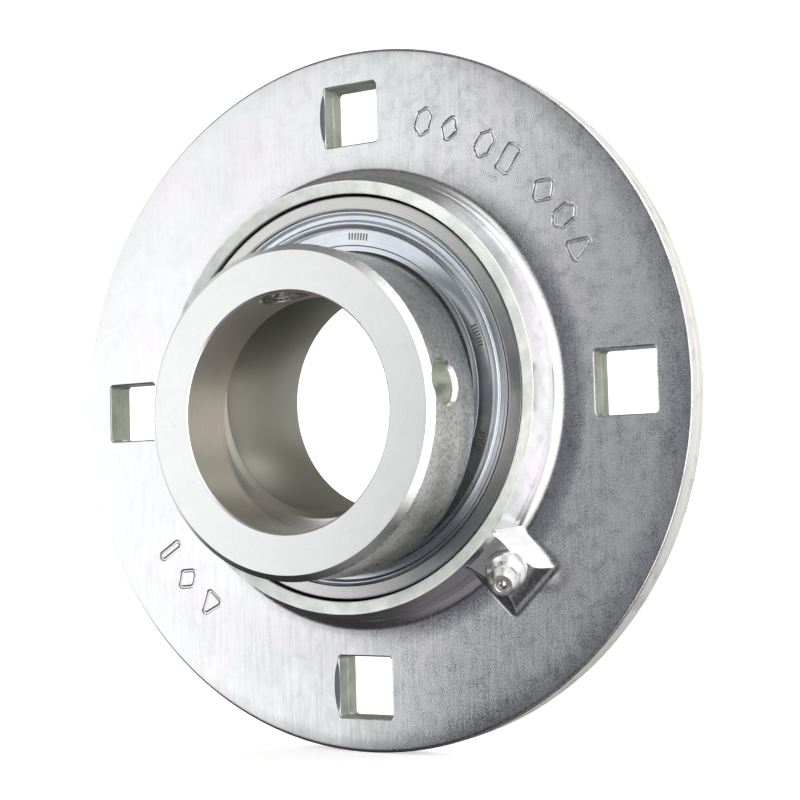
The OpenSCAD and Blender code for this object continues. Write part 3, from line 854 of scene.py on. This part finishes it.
thread = [p for p in thread if p[1] < COLLAR_R - 0.6]
thread += [(SCREW_R, COLLAR_R - 0.55), (SCREW_R + 1.6, COLLAR_R + 1.1), (0, COLLAR_R + 1.1)]
tapped = lathe("tapped", thread, 72, collar_hole(math.pi / 2))
drift_end = COLLAR_R - DRIFT_DEPTH
drift = lathe("drift", [
    (0, drift_end - 1.2), (DRIFT_R - 0.3, drift_end + 0.1), (DRIFT_R, drift_end + 0.5),
    (DRIFT_R, COLLAR_R - 0.95), (DRIFT_R + 0.15, COLLAR_R - 0.75), (DRIFT_R + 1.15, COLLAR_R + 0.45),
    (0, COLLAR_R + 0.45),
], 72, collar_hole(0))
combine(collar, recess, tapped, drift)
# Which faces are the drift hole and the bore, found by where they lie
into_drift = np.linalg.inv(collar_hole(0))
face_mats = []
for f in collar.data.polygons:
    x, y, z = f.center / MM
    across = moved([x, z, -y], into_drift)
    if math.hypot(across[0], across[1]) < DRIFT_R + 0.05 and across[2] < COLLAR_R - 0.7:
        face_mats.append(DRILLED if across[2] > BORE_R + 1 else BORED)
    else:
        face_mats.append(BORED if math.hypot(x, z - COLLAR_Y) < BORE_R + 0.02 else PLATED)
collar.data.polygons.foreach_set("material_index", np.array(face_mats, np.int32))
collar_bore = bore_steel("collar_bore", (0.56, 0.545, 0.49), (0.62, 0.575, 0.51), (0.42, 0.40, 0.36))
drift_hole = sheared_edge("drift_hole", (0.74, 0.77, 0.71), (0.40, 0.42, 0.36))
paint(collar, collar_zinc(), collar_bore, drift_hole)
shade(collar, 30)
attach(collar, "collar")
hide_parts("locking_collar")


def threaded_screw(name, s0, s1, crest, root, pitch, matrix):
    """A grub screw: helical thread, cup point at s0 and a chamfered socket end at s1."""
    cols, rows = 64, int((s1 - s0) / pitch * 10)
    a = np.linspace(0, 2 * math.pi, cols, endpoint=False)[None]
    s = np.linspace(s0, s1, rows)[:, None]
    phase = (s / pitch - a / (2 * math.pi)) % 1.0
    cut = np.clip(1.25 - np.abs(phase - 0.5) * 3.4, 0, 1)
    r = crest - (crest - root) * cut
    r = np.minimum(r, crest - 1.9 + (s - s0) * 0.95)
    r = np.minimum(r, crest - 0.75 + (s1 - s) * 1.1)

    def ring(radius, height):
        return np.stack([radius * np.cos(a[0]), radius * np.sin(a[0]), np.full(cols, height)], 1)

    first, last = r[0].min(), r[-1].min()
    cup = [(0.25, s0 + 1.35), (1.0, s0 + 1.1), (first - 0.6, s0 + 0.15), (first - 0.35, s0 + 0.02)]
    stack = [ring(*step) for step in cup]
    stack += [ring(r[i], s[i, 0]) for i in range(rows)]
    stack += [ring(last - 0.2, s1), ring(2.0, s1)]
    return lofted(name, stack, matrix)


screw_in, screw_out = BORE_R + 0.35, COLLAR_R - 0.6
screw = threaded_screw("grub_screw_threaded", screw_in, screw_out, SCREW_R - 0.06, SCREW_R - 0.6, SCREW_PITCH,
                       collar_hole(math.pi / 2))
socket_r = SOCKET_W / 2 / math.cos(math.radians(30))
hex_levels = [(socket_r * 0.4, screw_out - 5.6), (socket_r, screw_out - 4.5), (socket_r, screw_out - 0.35),
              (socket_r + 0.6, screw_out + 0.25)]
hexes = [np.array([(k * math.cos(t), k * math.sin(t), z) for t in np.radians(np.arange(0, 360, 60))])
         for k, z in hex_levels]
combine(screw, lofted("hex", hexes, collar_hole(math.pi / 2)))
paint(screw, bright_steel("screw_steel", (0.90, 0.90, 0.87), 0.22))
shade(screw, 40)
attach(screw, "set_screw")
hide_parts("grub_screw")


# ------------------------------------------------------------------ grease nipple

ON_NIPPLE = turn("Z", NOSE_AT) @ shift(NIPPLE_R, 0, NIPPLE_Z) @ turn("Y", NOSE_SLOPE)
nipple_outline = rounded([
    (0.8, -4.4, 0), (2.5, -4.4, 0.1), (3.0, -3.9, 0.1), (3.0, -0.1, 0), (4.25, -0.1, 0), (4.25, 1.0, 0.4),
    (3.95, 1.9, 0.5), (3.2, 2.8, 0.5), (2.5, 3.4, 0.3), (2.4, 3.8, 0.2), (2.75, 4.4, 0.3), (3.22, 5.1, 0.3),
    (3.25, 5.7, 0.4), (3.1, 6.4, 0.5), (2.62, 7.5, 0.3), (2.15, 8.4, 0.16), (1.5, 8.4, 0.1), (1.4, 8.15, 0.1),
    (0.95, 8.15, 0.06), (0.85, 8.02, 0.05), (1.3, 7.98, 0), (1.3, 1.0, 0), (0.8, 1.0, 0),
], 5, 0.02)
nipple = turned("nipple_turned", nipple_outline, 96, ON_NIPPLE)
paint(nipple, bright_steel("nipple_steel", (0.80, 0.79, 0.76), 0.26))
shade(nipple, 32)
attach(nipple, "housing")
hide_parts("nipple_body")

WIRE_R, COIL_R, COIL_LOW, COIL_HIGH, COIL_TURNS = 0.16, 1.06, 1.18, 6.51, 5
steps, sides = COIL_TURNS * 32, 10
a = np.linspace(0, 2 * math.pi * COIL_TURNS, steps)
k = np.linspace(0, 2 * math.pi, sides, endpoint=False)
coil = []
for i in range(steps):
    r = COIL_R + WIRE_R * np.cos(k)
    h = COIL_LOW + (COIL_HIGH - COIL_LOW) * i / (steps - 1) + WIRE_R * np.sin(k)
    coil.append(np.stack([r * math.cos(a[i]), r * math.sin(a[i]), h], 1))
spring = lofted("spring_coil", coil, ON_NIPPLE)
paint(spring, bright_steel("spring_wire", (0.66, 0.66, 0.65), 0.25))
shade(spring, 60)
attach(spring, "housing")
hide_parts("nipple_spring")
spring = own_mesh(spring)


# ------------------------------------------------------------------ CAD nodes that stay

def finish_node(names, mat):
    for name in names:
        for s in frame["nodes"][name].material_slots:
            s.material = mat


finish_node([f"ball_{i:02d}" for i in range(1, 11)] + ["nipple_ball"],
            bright_steel("ball_steel", (0.80, 0.81, 0.82), 0.12))
finish_node(["ball_cage"], cage_nylon())
finish_node(["front_seal_lip", "rear_seal_lip"], seal_rubber())
finish_node(["front_backing_washer", "rear_backing_washer"], washer_mat)


# ------------------------------------------------------------------ stage

CAMERA_AT = Vector((0.1904, -0.3167, -0.0224))
CAMERA_AIM = Vector((0.0066, 0.0, -0.0005))
CAMERA_ROLL = math.radians(-1.63)
CAMERA_LENS = 74.05

camera = bpy.data.objects.new("camera", bpy.data.cameras.new("camera"))
bpy.context.scene.collection.objects.link(camera)
camera.data.lens, camera.data.sensor_width = CAMERA_LENS, 36.0
camera.data.clip_start, camera.data.clip_end = 0.01, 50.0
look = (CAMERA_AIM - CAMERA_AT).to_track_quat("-Z", "Y").to_matrix().to_4x4()
camera.matrix_world = Matrix.Translation(CAMERA_AT) @ look @ Matrix.Rotation(CAMERA_ROLL, 4, "Z")
bpy.context.scene.camera = camera
bpy.context.scene.view_settings.view_transform = "Standard"

# A pale floor that curves up all round, far outside the object
flat_r, curve_r, wall_h = 1500.0, 900.0, 2200.0
floor_z = cad_lo.z / MM
sweep = [(0.0, floor_z), (200.0, floor_z), (900.0, floor_z), (flat_r, floor_z)]
sweep += [(flat_r + curve_r * math.sin(t), floor_z + curve_r * (1 - math.cos(t)))
          for t in np.radians(np.arange(6, 91, 6))]
sweep += [(flat_r + curve_r, floor_z + wall_h)]
seg = 96
a = np.linspace(0, 2 * math.pi, seg, endpoint=False)
pts = [(0, 0, floor_z)]
for r, z in sweep[1:]:
    pts += [(r * math.cos(t), r * math.sin(t), z) for t in a]
faces = [[0, 1 + j, 1 + (j + 1) % seg] for j in range(seg)]
faces += (grid_faces(len(sweep) - 1, seg, False, True) + 1).tolist()
floor_mesh = bpy.data.meshes.new("floor")
floor_mesh.from_pydata((np.array(pts) * MM).tolist(), [], faces)
bm = bmesh.new()
bm.from_mesh(floor_mesh)
bmesh.ops.recalc_face_normals(bm, faces=bm.faces)
for f in bm.faces:
    f.smooth = True
bm.to_mesh(floor_mesh)
bm.free()
floor = bpy.data.objects.new("floor", floor_mesh)
bpy.context.scene.collection.objects.link(floor)
pale = Finish("pale_floor", 0.0, (0.9, 0.9, 0.9), 0.8)
pale.colour(pale.mix(pale.span(pale.noise(4, 2), 0.3, 0.7), (0.88, 0.88, 0.88), (0.91, 0.91, 0.91)))
pale.set(pale.bsdf, "Emission Color", (1.0, 1.0, 1.0))
pale.set(pale.bsdf, "Emission Strength", 0.35)
paint(floor, pale.mat)
floor.visible_glossy = False
floor.visible_shadow = False

# Soft studio surroundings: bright to the left and right, dim round the camera
studio = bpy.data.worlds.new("studio")
bpy.context.scene.world = studio
studio.use_nodes = True
tree = studio.node_tree
nodes, links = tree.nodes, tree.links
background = nodes["Background"]
split = nodes.new("ShaderNodeSeparateXYZ")
links.new(nodes.new("ShaderNodeTexCoord").outputs["Generated"], split.inputs[0])


def world_math(operation, *values):
    node = nodes.new("ShaderNodeMath")
    node.operation = operation
    for i, v in enumerate(values):
        if isinstance(v, bpy.types.NodeSocket):
            links.new(v, node.inputs[i])
        else:
            node.inputs[i].default_value = v
    return node.outputs[0]


def world_product(first, *rest):
    for value in rest:
        first = world_math("MULTIPLY", first, value)
    return first


def world_not(value):
    return world_math("SUBTRACT", 1.0, value)


def world_mix(share, a, b):
    node = nodes.new("ShaderNodeMix")
    node.data_type = "RGBA"
    for i, v in ((0, share), (6, a), (7, b)):
        if isinstance(v, bpy.types.NodeSocket):
            links.new(v, node.inputs[i])
        else:
            node.inputs[i].default_value = (*v, 1.0)
    return node.outputs[2]


def world_span(value, lo, hi):
    node = nodes.new("ShaderNodeMapRange")
    node.interpolation_type = "SMOOTHSTEP"
    links.new(value, node.inputs["Value"])
    node.inputs["From Min"].default_value, node.inputs["From Max"].default_value = lo, hi
    return node.outputs["Result"]


# Angle round the object: 0 is straight in front of the flange, positive to the right, in turns from 0 to 1.
# The left light's near edge leans, further round at the top.
across, lift = split.outputs["X"], split.outputs["Z"]
to_front, fall = world_product(split.outputs["Y"], -1.0), world_product(lift, -1.0)
bearing = world_math("ARCTAN2", across, to_front)
lean = world_product(world_math("MAXIMUM", world_math("MINIMUM", lift, 0.3), -0.1), 0.33)
share = world_math("ADD", world_math("DIVIDE", world_math("SUBTRACT", bearing, lean), 2 * math.pi), 0.5)
around = nodes.new("ShaderNodeValToRGB")
around.color_ramp.interpolation = "LINEAR"
STOPS = [
    (-180, (0.15, 0.15, 0.125)), (-155, (0.17, 0.17, 0.14)), (-140, (0.38, 0.38, 0.34)),
    (-120, (0.8, 0.8, 0.8)), (-95, (0.9, 0.91, 0.92)), (-75, (1.25, 1.26, 1.26)),
    (-40, (1.38, 1.39, 1.39)), (-29.9, (1.32, 1.33, 1.33)), (-26.9, (0.12, 0.13, 0.14)),
    (-22, (0.11, 0.12, 0.135)), (-14, (0.18, 0.19, 0.21)), (18, (0.14, 0.15, 0.16)),
    (24, (0.45, 0.45, 0.44)), (31, (1.3, 1.28, 1.26)), (50, (2.1, 2.06, 2.03)),
    (75, (1.6, 1.56, 1.55)), (108, (1.35, 1.3, 1.3)), (126, (1.1, 1.07, 1.04)),
    (137, (0.6, 0.58, 0.53)), (150, (0.46, 0.44, 0.38)), (163, (0.18, 0.18, 0.155)),
    (180, (0.15, 0.15, 0.13)),
]
ramp = around.color_ramp
while len(ramp.elements) < len(STOPS):
    ramp.elements.new(0.5)
for element, (degrees, _) in zip(ramp.elements, STOPS):
    element.position = degrees / 360 + 0.5
for element, (_, colour) in zip(ramp.elements, STOPS):
    element.color = (*colour, 1.0)
links.new(share, around.inputs[0])
forward, to_right = world_span(to_front, -0.25, 0.25), world_span(across, 0.15, 0.4)
rise = world_product(world_span(lift, 0.02, 0.3), world_not(world_span(across, -0.38, -0.26)), forward, 0.5)
sky = world_mix(rise, around.outputs[0], (0.9, 0.9, 0.9))
# A dim band above the left light, then overhead, dim except to the right and high in front
veil = world_product(world_span(lift, 0.38, 0.48), forward, world_not(to_right))
sky = world_mix(veil, sky, (0.16, 0.16, 0.14))
front_high = world_product(world_span(to_front, 0.4, 0.6), world_span(across, -0.15, 0.05))
high = world_math("MAXIMUM", world_span(across, 0.2, 0.45), front_high)
sky = world_mix(world_span(lift, 0.6, 0.78), sky, world_mix(high, (0.24, 0.24, 0.23), (1.5, 1.5, 1.49)))
# Dark low down except to the right in front, with a faint glow under the front
right_low = world_product(to_right, forward, world_not(world_span(fall, 0.62, 0.78)))
low = world_product(world_span(fall, 0.21, 0.32), world_not(right_low))
low_behind = world_mix(world_span(fall, 0.4, 0.65), (0.13, 0.13, 0.115), (0.015, 0.016, 0.017))
sky = world_mix(low, sky, world_mix(forward, low_behind, (0.04, 0.04, 0.043)))
glow = world_product(world_span(fall, 0.46, 0.62), forward, world_span(across, -0.4, -0.1), world_not(to_right))
sky = world_mix(glow, sky, (0.24, 0.23, 0.24))
# A plain light panel straight behind, level with the object
level = world_not(world_span(world_math("ABSOLUTE", lift), 0.24, 0.36))
behind = world_product(world_span(split.outputs["Y"], 0.86, 0.94), level)
sky = world_mix(behind, sky, (0.8, 0.8, 0.79))
links.new(sky, background.inputs["Color"])
background.inputs["Strength"].default_value = 1.0


def softbox(name, at, width, height, watts):
    light = bpy.data.lights.new(name, "AREA")
    light.shape, light.size, light.size_y, light.energy = "RECTANGLE", width, height, watts
    obj = bpy.data.objects.new(name, light)
    bpy.context.scene.collection.objects.link(obj)
    obj.matrix_world = Matrix.Translation(at) @ (-Vector(at)).to_track_quat("-Z", "Y").to_matrix().to_4x4()
    obj.visible_camera = False


softbox("overhead", (0.45, 0.40, 1.25), 1.4, 1.4, 6.0)
